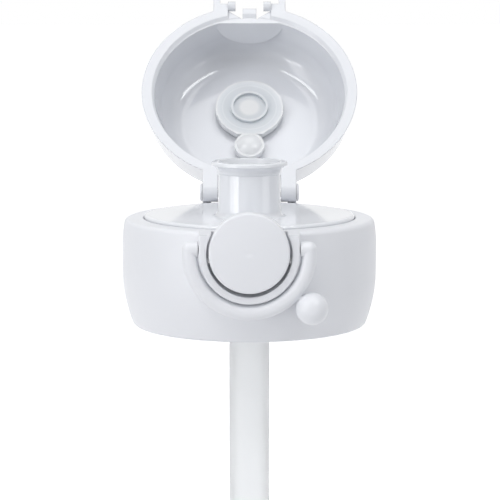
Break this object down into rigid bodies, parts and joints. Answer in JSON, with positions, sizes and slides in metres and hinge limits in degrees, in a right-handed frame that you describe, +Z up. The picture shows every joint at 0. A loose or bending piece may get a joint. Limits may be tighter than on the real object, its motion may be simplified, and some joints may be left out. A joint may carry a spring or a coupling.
{
  "type": "straw bottle cap",
  "caption": "Flip-top drinking cap for a bottle: a sprung lid opens over a flared spout with a long straw, held shut by a round push button and guarded by a swinging lock ring.",
  "frame": {"origin": "middle of the cap's mouth, at the foot of the screw skirt", "axes": "+Z up along the cap's axis, -Y towards the push button at the front, +Y towards the lid's hinge"},
  "size_m": [0.0662, 0.1241, 0.2022],
  "materials": {
    "shell_plastic": "satin white polypropylene",
    "cap_plastic": "glossy white polypropylene",
    "straw_plastic": "natural translucent polypropylene",
    "silicone": "translucent silicone",
    "steel": "drawn stainless wire and rod"
  },
  "bodies": {
    "cap": {"collar": "shell_plastic", "inner_cap": "cap_plastic", "neck_seal": "silicone", "straw_gasket": "silicone", "straw": "straw_plastic", "hinge_pin": "steel", "pin_cap_left": "shell_plastic", "pin_cap_right": "shell_plastic", "hinge_spring": "steel", "button_pin": "steel", "button_spring": "steel"},
    "lid": {"lid": "shell_plastic", "lid_seal": "silicone"},
    "button": {"button": "shell_plastic"},
    "lock_ring": {"lock_ring": "shell_plastic"}
  },
  "joints": [
    {"name": "lid_hinge", "type": "hinge", "parent": "cap", "child": "lid", "pos_m": [0, 0.0336, 0.0305], "axis": [1, 0, 0], "range_deg": [0, 130.5], "stiffness_Nm_per_rad": 0.0065, "springref_deg": -45.84, "deforming": ["hinge_spring"]},
    {"name": "button_press", "type": "hinge", "parent": "cap", "child": "button", "pos_m": [0, -0.0322, 0.0205], "axis": [1, 0, 0], "range_deg": [0, 9], "stiffness_Nm_per_rad": 0.05, "springref_deg": -5.73, "deforming": ["button_spring"]},
    {"name": "lock_ring_pivot", "type": "hinge", "parent": "cap", "child": "lock_ring", "pos_m": [0, -0.0352, 0.024], "axis": [-1, 0, 0], "range_deg": [0, 180]}
  ]
}
